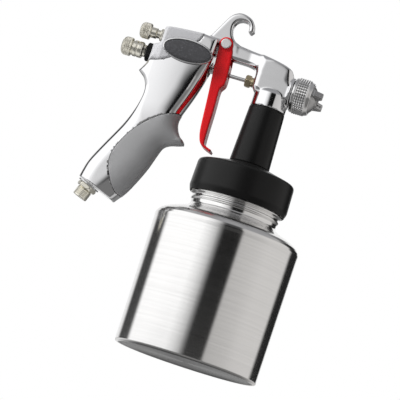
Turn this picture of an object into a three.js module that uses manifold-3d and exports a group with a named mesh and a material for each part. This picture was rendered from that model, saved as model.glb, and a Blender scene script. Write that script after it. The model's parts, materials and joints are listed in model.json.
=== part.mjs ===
// Siphon-feed HVLP spray gun with its quart cup. Millimetres, +Z up.
// Origin: centre of the cup's base. +X towards the nozzle. The gun is symmetric about Y = 0.
import * as THREE from 'three';
import { mergeVertices } from 'three/addons/utils/BufferGeometryUtils.js';
import Module from 'manifold-3d';

const wasm = await Module();
wasm.setup();

// ---- driving dimensions ----
const GAP = 0.3;             // clearance between neighbouring pieces
const FLUID_Z = 210.2;       // axis of nozzle, needle, air valve and fluid knob
const FAN_Z = 225.2;         // axis of the fan control
const FAN_BORE_R = 4.2;
const ARM_AIR_Z = 224.6;     // axis of the air passage in the arm
const AIR_BORE_R = 2.2;
const PIVOT = [-42.9, 230.9]; // trigger pivot, X and Z
const PIVOT_R = 2.2;
const PIVOT_HEAD_R = 3.8;
const CUP_R = 54.2;
const CUP_WALL = 1.2;
const CUP_SHOULDER_Z = 97;
const CUP_RIM_Z = 121.5;
const LID_R = 36.4;
const LID_BOTTOM_Z = 121.1;
const LID_TOP_Z = 145.2;
const SLEEVE_BASE_Z = 150.4;
const SLEEVE_TOP_Z = 193.6;
const SLEEVE_BASE_R = 15;
const SLEEVE_TOP_R = 13.3;
const SLEEVE_BORE_R = 9.6;
const TUBE_R = 4.2;          // siphon tube
const TUBE_BORE_R = 3.1;
const NEEDLE_R = 1.4;
const NEEDLE_COLLAR_R = 2.6;
const COLLAR_FRONT_X = -66.7; // the valve stem reaches it after 0.7 mm
const STEM_R = 2.5;          // air valve stem, hollow round the needle
const VALVE_NUT_X = -53.6;   // rear of the valve nut's head, sunk in the handle's front
const VALVE_NUT_FLATS = 9;
const VALVE_NUT_R = 4.3;
const SPRING_BORE_R = 6;     // chamber of both springs and the air valve
const SPRING_SEAT_X = -88.4; // both springs push against the seat here
const ARM_HALF = 5.4;        // half width of the arm between the trigger's sides
const HEAD_HALF = 10.4;
const HOOK_HALF = 4.5;
const HANDLE_HALF = 13;
const EDGE = 1;              // rounding of the body's edges
const CORE_HALF = 9;         // half width of the handle's metal core under the grip insert
const THROUGH = 20;          // half width of a cut that goes right through in Y
const HOUSING_HALF = 13.4;
const TRIGGER_HALF = 7.2;
const TRIGGER_SHEET = 1.4;
const RING_R = 13.5;
const RING_X = [14.2, 28.5];
const HORN_WIDTH = 6;
const CAP_TURN = -20;        // how far the air cap's horns stand turned from level, degrees
const HANDLE_DIR = [-0.337, -0.941]; // down the handle's axis, X and Z
const INLET = [-107.9, 103.6];       // centre of the handle's end, X and Z
const BADGE = [-66.9, 216.4];        // centre of the oval badge, X and Z
const BADGE_SIZE = [19.2, 8.8];

// ---- materials ----
const finish = (color, roughness, metalness) =>
  new THREE.MeshStandardMaterial({ color, roughness, metalness });
const POLISHED = () => finish(0xd9dadc, 0.15, 1);
const BRUSHED = () => finish(0xc4c4c4, 0.3, 1);
const NICKEL = () => finish(0xb9b4a6, 0.3, 1);
const BRASS = () => finish(0xa8905c, 0.35, 1);
const STEEL = () => finish(0x9a9a9a, 0.3, 1);
const BLACK = () => finish(0x161616, 0.5, 0);
const RED = () => finish(0xb2181c, 0.4, 0.2);
const GREY_PAINT = () => finish(0xa0a0a2, 0.5, 0.1);
const GREY_RUBBER = () => finish(0x6e6e6e, 0.7, 0);
const CHARCOAL = () => finish(0x3c3c40, 0.5, 0);
const PTFE = () => finish(0xe6e4dc, 0.5, 0);

// ---- solids ----
function solid(geometry) {
  geometry.deleteAttribute('normal');
  geometry.deleteAttribute('uv');
  const merged = mergeVertices(geometry, 1e-4);
  const index = merged.index.array;
  const faces = [];
  for (let i = 0; i < index.length; i += 3) {
    const [a, b, c] = [index[i], index[i + 1], index[i + 2]];
    if (a !== b && b !== c && c !== a) faces.push(a, b, c);
  }
  return new wasm.Manifold(new wasm.Mesh({
    numProp: 3,
    vertProperties: new Float32Array(merged.attributes.position.array),
    triVerts: new Uint32Array(faces),
  }));
}

const group = new THREE.Group();

function part(name, body, material) {
  const data = body.getMesh();
  const geometry = new THREE.BufferGeometry();
  geometry.setAttribute('position', new THREE.BufferAttribute(data.vertProperties, 3));
  geometry.setIndex(new THREE.BufferAttribute(data.triVerts, 1));
  geometry.computeVertexNormals();
  const mesh = new THREE.Mesh(geometry, material);
  mesh.name = name;
  group.add(mesh);
}

const union = (first, ...rest) => rest.reduce((all, one) => all.add(one), first);
const cut = (body, ...tools) => tools.reduce((left, tool) => left.subtract(tool), body);

// Profile points are [radius, height], anticlockwise, from axis to axis or closed on itself.
const lathe = (profile, sides = 16) =>
  new THREE.LatheGeometry(profile.map(([r, h]) => new THREE.Vector2(r, h)), sides);
const closed = (profile) => [...profile, profile[0]];

const upright = (profile, sides) => solid(lathe(profile, sides).rotateX(Math.PI / 2));
const alongX = (profile, z, sides) =>
  solid(lathe(profile, sides).rotateZ(-Math.PI / 2).rotateX(Math.PI / 2).translate(0, 0, z));

const rod = (r, from, to) => [[0, from], [r, from], [r, to], [0, to]];
const tube = (r, bore, from, to) => closed([[bore, from], [r, from], [r, to], [bore, to]]);

// Rod between two points of the X-Z plane, at a given Y.
function rodBetween(r, [x0, z0], [x1, z1], y = 0, sides = 12) {
  const start = new THREE.Vector3(x0, y, z0);
  const along = new THREE.Vector3(x1, y, z1).sub(start);
  const length = along.length();
  const turn = new THREE.Quaternion().setFromUnitVectors(
    new THREE.Vector3(0, 1, 0), along.normalize());
  return solid(lathe(rod(r, 0, length), sides).applyQuaternion(turn)
    .translate(start.x, start.y, start.z));
}

// Rod along Y, through [x, z].
const crossRod = (r, [x, z], y0, y1, sides = 16) =>
  solid(lathe(rod(r, y0, y1), sides).translate(x, 0, z));

// Side outline (X, Z) made into a plate from -half to +half in Y, with rounded edges.
function plate(shape, half, round = 0) {
  const geometry = new THREE.ExtrudeGeometry(shape, {
    depth: 2 * (half - round),
    curveSegments: 2,
    bevelEnabled: round > 0,
    bevelThickness: round,
    bevelSize: round,
    bevelOffset: -round,
    bevelSegments: 2,
  });
  return solid(geometry.translate(0, 0, round - half).rotateX(Math.PI / 2));
}

const points = (list) => list.map(([x, y]) => new THREE.Vector2(x, y));

// Closed outline from a start point and runs. A run of several points is a smooth curve from where
// the outline stands, and a run of one point is a straight line. A corner stands between two runs.
function outline(start, ...runs) {
  const shape = new THREE.Shape();
  shape.moveTo(...start);
  for (const run of runs) {
    if (run.length > 1) shape.splineThru(points(run));
    else shape.lineTo(...run[0]);
  }
  return shape;
}

function ellipse([x, z], [a, b]) {
  const shape = new THREE.Shape();
  shape.absellipse(x, z, a, b, 0, 2 * Math.PI);
  return shape;
}

function hexagon(flats, x0, x1, z) {
  const r = flats / Math.sqrt(3);
  return solid(new THREE.CylinderGeometry(r, r, x1 - x0, 6)
    .translate(0, (x0 + x1) / 2, 0).rotateZ(-Math.PI / 2).translate(0, 0, z));
}

// ---- outlines ----
const handleOutline = () => outline(
  [-94.8, 201.8],
  [[-99.2, 194.6]],
  [[-93.4, 189.8], [-89.5, 181.5], [-91.2, 169], [-97.5, 153], [-107.5, 133], [-114.5, 117],
    [-115.2, 106.3]],
  [[-88, 96.6]],
  [[-80, 106], [-71.5, 125], [-65.3, 143.8], [-62.5, 147.5], [-50.6, 151.3]],
  [[-54.8, 156], [-59.6, 165.5], [-57.5, 175], [-53.4, 188], [-50.4, 200], [-49.5, 207],
    [-49.1, 214], [-49, 232]],
  [[-96, 232]],
);

const housingOutline = () => outline(
  [-94.8, 202.8],
  [[-94.8, 216.5]],
  [[-89.4, 218.6]],
  [[-89.4, 230.4]],
  [[-76, 231.8], [-59.4, 232.8]],
  [[-61.5, 226.6], [-68.9, 217.3], [-78, 209.1], [-86.2, 204.9], [-94.8, 202.8]],
);

// Plan (X, Y) of the rear housing: it narrows towards its two bosses.
const housingPlan = () => new THREE.Shape(points([[-50, -HOUSING_HALF - 1],
  [-86.4, -HOUSING_HALF - 1], [-95.4, -9.4], [-95.4, 9.4], [-86.4, HOUSING_HALF + 1],
  [-50, HOUSING_HALF + 1]].reverse()));

const armOutline = () => outline(
  [-66, 222],
  [[-66, 234]],
  [[-45, 234.2], [-30, 233.2], [-10, 230.3], [4, 227.4], [9, 224.5]],
  [[9, 214]],
  [[-12, 214]],
  [[-15.2, 218], [-22, 220.4], [-37, 221], [-50, 221.5]],
);

const hookOutline = () => outline(
  [-60, 230],
  [[-56.6, 234.2]],
  [[-52, 243.5], [-47, 252.8], [-42.5, 256.3], [-37.5, 257.1], [-31, 254.9], [-27.2, 249.8],
    [-26.6, 246]],
  [[-28.4, 243.8]],
  [[-30.7, 244.7]],
  [[-31.2, 248.8], [-33.4, 251.2], [-37, 251.6], [-40.3, 249.9], [-42, 246.8], [-41.9, 243],
    [-40.3, 238.4], [-37.5, 235.4], [-34, 233], [-33, 229]],
);

const headOutline = () => outline(
  [-15.2, 206],
  [[-15.6, 219]],
  [[-14, 230.4]],
  [[-2, 228.6], [7, 226.3], [11, 223.4], [12.6, 219]],
  [[12.9, 203]],
  [[-13, 203]],
);

const triggerOutline = () => outline(
  [-47.6, 230],
  [[-47.1, 221], [-45.7, 207], [-44, 190], [-41.8, 167], [-40.4, 159.5], [-37, 153.6],
    [-29.6, 151]],
  [[-29.2, 152.8]],
  [[-35.4, 155.4], [-36.2, 164], [-36.6, 182], [-37.4, 197.5], [-35.2, 201], [-34.7, 205],
    [-35.2, 214], [-36.4, 225], [-37.8, 230]],
);

// The channel between the trigger's sides: open at the back, and at the top above the web.
const triggerChannel = () => outline(
  [-60, 245],
  [[-60, 154]],
  [[-39.6, 154.4], [-37.6, 164], [-38.1, 182], [-38.9, 197.5], [-36.6, 201.5], [-36.2, 205],
    [-36.6, 214], [-36.8, 216.5]],
  [[-30, 218.5]],
  [[-30, 245]],
);

const gripOutline = () => outline(
  [-60.3, 171.2],
  [[-66, 169], [-71.4, 166], [-77, 161.6], [-82.4, 156.4], [-87.2, 150.8], [-91.6, 144.2],
    [-95.5, 135.6], [-97.6, 127.2], [-96.8, 120], [-94, 113], [-90.4, 106.8], [-85.6, 101.4]],
  [[-70, 101.4]],
  [[-40, 140]],
  [[-40, 160]],
  [[-50, 171.6]],
);

// Metal core of the handle where the soft insert wraps round it.
const coreOutline = () => outline(
  [-110, 174],
  [[-67.6, 174]],
  [[-68.5, 160], [-72, 143], [-80, 121], [-88, 105]],
  [[-92, 98]],
  [[-125, 98]],
  [[-125, 174]],
);

// Room that the body leaves for the rear housing.
const housingRoomOutline = () => outline(
  [-120, 202],
  [[-94.9, 202.4]],
  [[-86, 204.5], [-77.8, 208.7], [-68.6, 217], [-61.2, 226.4], [-59, 232.8], [-58.8, 240]],
  [[-120, 240]],
);

// The insert's own edge, just inside the seam cut in the handle.
const gripRoomOutline = () => outline(
  [-60.3, 170.8],
  [[-65.8, 168.6], [-71.2, 165.6], [-76.7, 161.3], [-82.1, 156.1], [-86.9, 150.5],
    [-91.2, 144], [-95.1, 135.5], [-97.2, 127.2], [-96.4, 120.1], [-93.6, 113.2], [-90.1, 107.1],
    [-85.4, 101.8]],
  [[-70, 101.8]],
  [[-40, 140]],
  [[-40, 160]],
  [[-50, 171.2]],
);

const coreRoomOutline = () => outline(
  [-110, 175],
  [[-67.2, 175]],
  [[-68.1, 160], [-71.6, 143], [-79.6, 121], [-87.6, 104.8]],
  [[-92, 90]],
  [[-125, 90]],
  [[-125, 175]],
);

// ---- cup and lid ----
function cup() {
  const outer = [[0, 0], [51, 0], [52.6, 0.7], [53.3, 2.2],
    [CUP_R, CUP_SHOULDER_Z], [53.2, 100.4], [50, 103.4], [46, 105.2], [40, 107.2], [35, 109.6],
    [32.4, 111.6], [32.4, 115], [33.4, 116], [32.4, 117.2], [32.4, 118.6], [34.2, 119.6],
    [34.2, 120.8], [33.2, CUP_RIM_Z]];
  const inner = [[31.2, CUP_RIM_Z], [31.2, 111], [34, 108.4], [39.6, 106], [45.6, 104],
    [49.4, 102.3], [52, 99.8], [CUP_R - CUP_WALL, CUP_SHOULDER_Z], [52.2, 3.6], [51, 2.2],
    [0, 2.2]];
  part('cup', upright([...outer, ...inner], 40), BRUSHED());
}

function lidGasket() {
  part('lid_gasket', upright(tube(34, 24, CUP_RIM_Z + GAP, CUP_RIM_Z + 2), 32), PTFE());
}

function cupLid() {
  const underside = CUP_RIM_Z + 2 + GAP;
  const profile = closed([[34.8, LID_BOTTOM_Z], [35.4, LID_BOTTOM_Z - 0.6], [LID_R + 0.5, 124.6],
    [LID_R, 143], [LID_R - 0.6, 144.4], [LID_R - 1.8, LID_TOP_Z], [SLEEVE_BASE_R, SLEEVE_BASE_Z],
    [TUBE_R + GAP, SLEEVE_BASE_Z], [TUBE_R + GAP, 143], [32, 140], [34.8, underside + 4]]);
  part('cup_lid', upright(profile, 40), BLACK());
}

function neckSleeve() {
  const foot = SLEEVE_BASE_Z + GAP;
  const profile = closed([[SLEEVE_BORE_R, foot], [SLEEVE_BASE_R, foot],
    [SLEEVE_TOP_R, SLEEVE_TOP_Z - 0.8], [SLEEVE_TOP_R - 0.6, SLEEVE_TOP_Z],
    [SLEEVE_BORE_R, SLEEVE_TOP_Z]]);
  part('neck_sleeve', upright(profile, 32), BLACK());
}

function siphonTube() {
  const foot = 9;
  part('siphon_tube', upright(tube(TUBE_R, TUBE_BORE_R, foot, 200), 20), STEEL());
  part('tube_strainer', upright(closed([[TUBE_R + GAP, 18], [TUBE_R + GAP, foot - GAP],
    [1, foot - GAP], [1, 5], [5.5, 5], [6.2, 6], [6.2, 17], [5.6, 18]]), 20), PTFE());
}

// ---- body ----
// Point on the handle's axis, so far past its end (or up inside it, below zero).
const alongHandle = (past) => [INLET[0] + HANDLE_DIR[0] * past, INLET[1] + HANDLE_DIR[1] * past];

function bodyBores() {
  return [
    // fluid way: siphon tube, passage to the nozzle, packing
    solid(lathe(rod(TUBE_R + GAP, 170, 207), 12).rotateX(Math.PI / 2)),
    alongX(rod(2.4, -5, 10), FLUID_Z, 12),
    alongX(rod(6.3, 6, 30), FLUID_Z, 12),
    alongX(rod(3.9, -20, -4), FLUID_Z, 12),
    // needle, air valve and springs
    alongX(rod(VALVE_NUT_R + GAP, -64, -40), FLUID_Z, 16),
    alongX(rod(5.6, VALVE_NUT_X - GAP, -40), FLUID_Z, 20),
    alongX(rod(SPRING_BORE_R, -100, -60.5), FLUID_Z, 20),
    // air: up the handle, round the valve, up to the arm and along it to the head's front
    rodBetween(6.3, alongHandle(5), alongHandle(-9)),
    rodBetween(4.5, alongHandle(5), [-71.5, 207]),
    rodBetween(2, [-56, FLUID_Z], [-56, FAN_Z]),
    alongX(rod(FAN_BORE_R, -100, -64), FAN_Z, 16),
    alongX(rod(AIR_BORE_R, -66, 5), ARM_AIR_Z, 12),
    rodBetween(AIR_BORE_R, [5, ARM_AIR_Z], [5, FLUID_Z + 8.6]),
    alongX(rod(1.6, 3, 30), FLUID_Z + 8.6, 12),
    // trigger pivot
    crossRod(PIVOT_R + GAP, PIVOT, -20, 12),
  ];
}

function headBoss() {
  // Vertical fluid inlet under the head, domed into its sides, with a spigot in the sleeve.
  const dome = [[0, 180], [SLEEVE_BORE_R - GAP, 180], [SLEEVE_BORE_R - GAP, SLEEVE_TOP_Z + GAP],
    [12.8, SLEEVE_TOP_Z + GAP], [12.9, 203], [12, 207.5], [9, 210.5], [0, 212]];
  return upright(dome, 28);
}

function gunBody() {
  const nose = alongX([[0, 2], [8, 2], [11.2, 8], [12, 13], [12, 13.9], [10, 14.2], [10, 22.5],
    [9.2, 23.2], [0, 23.2]], FLUID_Z, 28);
  const handle = plate(handleOutline(), HANDLE_HALF, EDGE);
  // The grip insert leaves only the metal core over its stretch of the handle.
  const wrap = plate(gripOutline(), THROUGH);
  const kept = plate(coreOutline(), CORE_HALF);
  const metalHandle = cut(handle, cut(wrap, kept));
  const body = union(
    metalHandle,
    plate(armOutline(), ARM_HALF, 2),
    plate(hookOutline(), HOOK_HALF, EDGE),
    plate(headOutline(), HEAD_HALF, 2.5),
    headBoss(),
    nose,
  );
  const housingRoom = plate(housingRoomOutline(), THROUGH);
  part('gun_body', cut(body, housingRoom, ...bodyBores()), POLISHED());
}

function rearHousing() {
  const plan = solid(new THREE.ExtrudeGeometry(housingPlan(), {
    depth: 60, bevelEnabled: false,
  }).translate(0, 0, 190));
  const block = plate(housingOutline(), HOUSING_HALF, EDGE).intersect(plan);
  part('rear_housing', cut(block,
    alongX(rod(SPRING_BORE_R, -100, -58), FLUID_Z, 32),
    alongX(rod(FAN_BORE_R, -100, -64), FAN_Z, 16),
    alongX(rod(AIR_BORE_R, -70, 5), ARM_AIR_Z, 12)), GREY_PAINT());
}

function gripInsert() {
  const skin = plate(handleOutline(), HANDLE_HALF + 0.4, EDGE);
  const room = plate(gripRoomOutline(), THROUGH);
  const core = plate(coreRoomOutline(), CORE_HALF + GAP);
  part('grip_insert', cut(skin.intersect(room), core), GREY_RUBBER());
}

function badges() {
  for (const [side, name] of [[-1, 'left'], [1, 'right']]) {
    const face = side * (HOUSING_HALF + 0.05);
    const plateAt = (size, depth) => solid(new THREE.ExtrudeGeometry(ellipse(BADGE, size), {
      depth, bevelEnabled: false, curveSegments: 10,
    }).translate(0, 0, -depth / 2).rotateX(Math.PI / 2));
    const disc = plateAt([BADGE_SIZE[0] - 1.2, BADGE_SIZE[1] - 1.2], 0.9);
    const rim = cut(plateAt(BADGE_SIZE, 1.2),
      plateAt([BADGE_SIZE[0] - 0.9, BADGE_SIZE[1] - 0.9], 4));
    part(`badge_${name}`, disc.translate([0, face + side * (GAP + 0.45), 0]), CHARCOAL());
    part(`badge_rim_${name}`, rim.translate([0, face + side * (GAP + 0.6), 0]), POLISHED());
  }
}

// ---- trigger ----
function trigger() {
  const eye = crossRod(5.2, PIVOT, -TRIGGER_HALF, TRIGGER_HALF, 32);
  const sides = union(plate(triggerOutline(), TRIGGER_HALF), eye);
  const inner = TRIGGER_HALF - TRIGGER_SHEET;
  const slot = solid(new THREE.BoxGeometry(20, 4.4, 5.4).translate(-34, 0, FLUID_Z));
  const body = cut(sides,
    plate(triggerChannel(), inner),
    crossRod(6, PIVOT, -inner, inner),
    crossRod(PIVOT_R + GAP, PIVOT, -20, 20),
    slot);
  part('trigger', body, RED());
}

function pivotScrew() {
  const head = TRIGGER_HALF + GAP;
  const screw = union(
    crossRod(PIVOT_R, PIVOT, -head, head + 1.4),
    crossRod(PIVOT_HEAD_R, PIVOT, -head - 1.5, -head));
  part('pivot_screw', screw, STEEL());
  const nut = cut(
    solid(new THREE.CylinderGeometry(4.2, 4.2, 2.2, 6)
      .translate(PIVOT[0], head + 1.1, PIVOT[1])),
    crossRod(PIVOT_R + GAP, PIVOT, 0, 20));
  part('pivot_nut', nut, STEEL());
}

// ---- fluid side ----
function fluidNeedle() {
  const profile = [[0, -86], [NEEDLE_R, -86], [NEEDLE_R, -69.2], [NEEDLE_COLLAR_R, -69.2],
    [NEEDLE_COLLAR_R, COLLAR_FRONT_X], [NEEDLE_R, COLLAR_FRONT_X], [NEEDLE_R, 22], [0.5, 30.5],
    [0, 31]];
  part('fluid_needle', alongX(profile, FLUID_Z, 12), STEEL());
}

function packing() {
  const shank = alongX(tube(3.6, NEEDLE_R + 0.2, -17, -9), FLUID_Z, 16);
  const head = cut(hexagon(8.4, -22, -16.6, FLUID_Z),
    alongX(rod(NEEDLE_R + 0.2, -30, 0), FLUID_Z, 16));
  part('packing_nut', union(shank, head), BRASS());
  part('needle_packing', alongX(tube(3.6, NEEDLE_R + 0.2, -8.7, -5), FLUID_Z, 16), PTFE());
}

function fluidNozzle() {
  const profile = closed([[2.1, 10.4], [6, 10.4], [6, 23.5], [7.6, 23.6], [7.6, 26.4],
    [4, 27], [1.6, 31.8], [0.85, 31.8], [0.85, 30.6], [2.1, 24]]);
  part('fluid_nozzle', alongX(profile, FLUID_Z, 20), STEEL());
}

function springs() {
  part('needle_spring', alongX(tube(3.7, 2.9, SPRING_SEAT_X, -69.5), FLUID_Z, 16), STEEL());
  part('air_valve_spring', alongX(tube(5.6, 4.8, SPRING_SEAT_X, -66.3), FLUID_Z, 16), STEEL());
}

function fluidKnob() {
  const ringFrom = -98.4;
  const stemR = 4.2;
  part('fluid_knob_bush', alongX(closed([[stemR + GAP, ringFrom], [7, ringFrom], [7, -95.1],
    [stemR + GAP, -95.1]]), FLUID_Z, 20), BLACK());
  part('spring_seat', alongX(closed([[2, -91], [5.6, -91], [5.6, -88.8], [2, -88.8]]),
    FLUID_Z, 16), BRASS());
  const profile = [[0, -117.7], [4.6, -117.7], [6.2, -116.8], [7, -115.2], [7, -110.6],
    [6.3, -109.9], [5.6, -109.4], [5.6, -108.6], [6.1, -108.2], [6.1, -105.8], [5.7, -105.4],
    [6.1, -105], [6.1, -102], [5.4, -101.2], [stemR, -101], [stemR, -91.3], [0, -91.3]];
  part('fluid_knob', alongX(profile, FLUID_Z, 20), NICKEL());
}

// ---- fan control ----
function fanControl() {
  const stemR = 3.2;
  part('fan_knob_bush', alongX(closed([[stemR + GAP, -92.6], [4.7, -92.6], [4.7, -89.9],
    [stemR + GAP, -89.9]]), FAN_Z, 20), NICKEL());
  const knob = [[0, -108.2], [4, -108.2], [5.6, -107.3], [6.15, -105.6], [6.15, -100.6],
    [5.4, -100], [4, -99.8], [4, -95.4], [stemR, -95.2], [stemR, -84], [0, -84]];
  part('fan_knob', alongX(knob, FAN_Z, 20), NICKEL());
  part('fan_valve_needle', alongX([[0, -83.7], [3.8, -83.7], [3.8, -80], [2.6, -79.6],
    [2.6, -72], [1.2, -68.4], [0, -68]], FAN_Z, 16), BRASS());
}

// ---- air valve, round the needle ----
function airValve() {
  const bore = rod(STEM_R + GAP, -60, -40);
  const head = hexagon(VALVE_NUT_FLATS, VALVE_NUT_X, VALVE_NUT_X + 2.4, FLUID_Z);
  const shank = alongX(rod(VALVE_NUT_R, -58, VALVE_NUT_X + 0.2), FLUID_Z, 16);
  part('air_valve_nut', cut(union(head, shank), alongX(bore, FLUID_Z, 16)), BRASS());
  const inner = NEEDLE_R + GAP;
  part('air_valve_stem', alongX(closed([[inner, -66], [5.2, -66], [5.2, -64.2],
    [STEM_R, -63.8], [STEM_R, -37.4], [inner, -37.1]]), FLUID_Z, 16), STEEL());
  part('air_valve_seat', alongX(tube(5.7, STEM_R + 0.8, -63.7, -61), FLUID_Z, 16), BRASS());
}

function inlet() {
  const place = (body) => body.rotate([0, -Math.atan2(-HANDLE_DIR[0], -HANDLE_DIR[1])
    * 180 / Math.PI * -1, 0]).translate([INLET[0], 0, INLET[1]]);
  const bore = rod(3.6, -30, 30);
  const fitting = cut(union(
    upright([[0, -12], [4.9, -12], [5.6, -11.3], [6, -10.6], [6, -5.2], [5.4, -4.8],
      [5.4, -1.6], [0, -1.6]], 20),
    solid(new THREE.CylinderGeometry(7.9, 7.9, 3.2, 6).rotateX(Math.PI / 2)
      .translate(0, 0, -3.2)),
    upright([[0, -1.6], [6, -1.6], [6, 8], [0, 8]], 20)), upright(bore, 16));
  part('inlet_fitting', place(fitting), NICKEL());
  part('inlet_washer', place(upright(tube(8.6, 6.3, -1.3, -GAP), 24)), STEEL());
}

// ---- front end ----
function frontEnd() {
  const [rear, front] = RING_X;
  part('retaining_ring', alongX(closed([[10.4, rear + 0.4], [12.6, rear + 0.4],
    [12.9, rear + 1.2], [12.9, rear + 2.2], [RING_R, rear + 2.6], [RING_R, 25.4],
    [12.2, front - 0.4], [11.9, front], [10.7, front], [10.7, 26.6], [11.4, 26.6], [11.4, 23],
    [10.4, 23]]), FLUID_Z, 32), STEEL());
  part('cap_seal_ring', alongX(tube(11, 8.2, 23.6, 24.4), FLUID_Z, 28), PTFE());
  const cap = alongX(closed([[7.9, 24.7], [11, 24.7], [11, 26.3], [10.3, 26.4], [10.3, 29],
    [8.8, 30.6], [6.6, 32.4], [4.4, 33.2], [2.2, 33.2], [2.2, 32.4], [5.2, 28.4],
    [7.9, 26.8]]), FLUID_Z, 28);
  const hornSide = new THREE.Shape(points([[27.6, 5.2], [27.6, 10], [31, 10.2], [36.4, 8.6],
    [36.8, 7.2], [33.4, 4.6]]));
  const horn = solid(new THREE.ExtrudeGeometry(hornSide, {
    depth: HORN_WIDTH, bevelEnabled: false,
  }).translate(0, 0, -HORN_WIDTH / 2));
  const horns = union(horn, horn.mirror([0, 1, 0])).rotate([CAP_TURN, 0, 0]);
  part('air_cap', union(cap, horns.translate([0, 0, FLUID_Z])), STEEL());
}

cup();
lidGasket();
cupLid();
neckSleeve();
siphonTube();
gunBody();
rearHousing();
gripInsert();
badges();
trigger();
pivotScrew();
fluidNeedle();
packing();
fluidNozzle();
springs();
fluidKnob();
fanControl();
airValve();
inlet();
frontEnd();

export default group;
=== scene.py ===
"""Looks of the siphon-feed HVLP spray gun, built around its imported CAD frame.

Shapes are worked out in millimetres, in the frame's own axes, and become metres when a mesh is made.
"""

import json
import math

import bpy
import numpy as np
from mathutils import Matrix, Vector

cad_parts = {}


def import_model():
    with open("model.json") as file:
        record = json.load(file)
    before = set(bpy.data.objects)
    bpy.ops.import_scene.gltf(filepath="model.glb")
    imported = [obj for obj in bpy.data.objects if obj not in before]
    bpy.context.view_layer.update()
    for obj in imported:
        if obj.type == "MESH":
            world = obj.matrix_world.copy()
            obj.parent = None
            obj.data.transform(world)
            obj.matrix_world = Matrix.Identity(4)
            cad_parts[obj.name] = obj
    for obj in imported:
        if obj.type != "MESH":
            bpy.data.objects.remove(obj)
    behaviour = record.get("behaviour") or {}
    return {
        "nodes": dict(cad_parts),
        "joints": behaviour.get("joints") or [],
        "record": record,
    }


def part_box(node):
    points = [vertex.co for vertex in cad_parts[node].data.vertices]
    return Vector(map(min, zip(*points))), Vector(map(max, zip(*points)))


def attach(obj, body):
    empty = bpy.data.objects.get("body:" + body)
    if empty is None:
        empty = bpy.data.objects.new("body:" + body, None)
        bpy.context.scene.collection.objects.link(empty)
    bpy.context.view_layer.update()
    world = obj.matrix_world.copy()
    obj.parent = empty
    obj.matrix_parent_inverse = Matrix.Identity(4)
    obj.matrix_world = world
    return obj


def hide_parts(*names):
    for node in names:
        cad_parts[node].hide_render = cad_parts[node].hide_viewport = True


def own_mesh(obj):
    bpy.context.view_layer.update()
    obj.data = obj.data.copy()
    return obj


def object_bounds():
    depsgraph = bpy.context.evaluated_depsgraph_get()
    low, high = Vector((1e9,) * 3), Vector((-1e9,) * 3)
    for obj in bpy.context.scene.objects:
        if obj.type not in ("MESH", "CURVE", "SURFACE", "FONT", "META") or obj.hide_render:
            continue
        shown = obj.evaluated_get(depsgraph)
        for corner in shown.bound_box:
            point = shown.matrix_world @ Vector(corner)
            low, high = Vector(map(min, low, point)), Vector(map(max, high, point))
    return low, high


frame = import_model()
cad_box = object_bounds()

MM = 0.001
FINE = 1.0


# ---- places taken from the frame ----
def span(node):
    """Lowest and highest corner of a CAD node, in millimetres."""
    low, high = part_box(node)
    return np.array(low) / MM, np.array(high) / MM


def middle(node):
    low, high = span(node)
    return (low + high) / 2


def joint(name):
    return next(j for j in frame["joints"] if j["name"] == name)


FLUID_Z = middle("fluid_needle")[2]
FAN_Z = middle("fan_knob")[2]
PIVOT_X, _, PIVOT_Z = (v / MM for v in joint("trigger_pull")["pos_m"])
INLET_MOUNT = next(m for m in frame["record"]["mounts"] if m["name"] == "inlet_end")


# ---- distance fields: functions of x, y, z in millimetres, negative inside ----
def smooth_curve(knots, steps):
    """Points of a Catmull-Rom curve through the knots, without the first one."""
    knots = [knots[0], *knots, knots[-1]]
    found = []
    for p0, p1, p2, p3 in zip(knots, knots[1:], knots[2:], knots[3:]):
        for k in range(1, steps + 1):
            t = k / steps
            found.append(0.5 * ((2 * p1) + (p2 - p0) * t + (2 * p0 - 5 * p1 + 4 * p2 - p3) * t * t
                                + (3 * p1 - p0 - 3 * p2 + p3) * t ** 3))
    return found


def outline(start, *runs, steps=5):
    """Closed outline in X and Z. A run of several points is a smooth curve, a run of one a line."""
    points = [np.array(start, float)]
    for run in runs:
        knots = [points[-1], *(np.array(p, float) for p in run)]
        points += knots[1:] if len(run) == 1 else smooth_curve(knots, steps)
    if np.allclose(points[0], points[-1]):
        points.pop()
    return np.array(points)


def flat_field(points):
    """Signed distance to an outline, as a function of x and z."""
    ends = np.roll(points, -1, axis=0)

    def field(x, z):
        x, z = np.broadcast_arrays(x, z)
        nearest = np.full(x.shape, 1e9)
        inside = np.zeros(x.shape, bool)
        for (ax, az), (bx, bz) in zip(points, ends):
            ex, ez = bx - ax, bz - az
            along = np.clip(((x - ax) * ex + (z - az) * ez) / (ex * ex + ez * ez), 0, 1)
            gap = (x - ax - along * ex) ** 2 + (z - az - along * ez) ** 2
            nearest = np.minimum(nearest, gap)
            if az != bz:
                inside ^= ((az > z) != (bz > z)) & (x < ex * (z - az) / ez + ax)
        return np.where(inside, -1, 1) * np.sqrt(nearest)

    return field


def rounded(a, b, edge):
    """Two half-space distances joined at a rounded edge.

    edge is a radius, or how far an oval edge reaches back along each of the two faces.
    """
    if not isinstance(edge, tuple):
        a, b = a + edge, b + edge
        return (np.minimum(np.maximum(a, b), 0)
                + np.hypot(np.maximum(a, 0), np.maximum(b, 0)) - edge)
    over, deep = edge
    u, v = np.maximum((a + over) / over, 0), np.maximum((b + deep) / deep, 0)
    reach = np.hypot(u, v)
    slope = np.hypot(u / over, v / deep)
    flat = (u == 0) & (v == 0)
    return np.where(flat, np.maximum(a, b), (reach - 1) * reach / np.where(flat, 1, slope))


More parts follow.
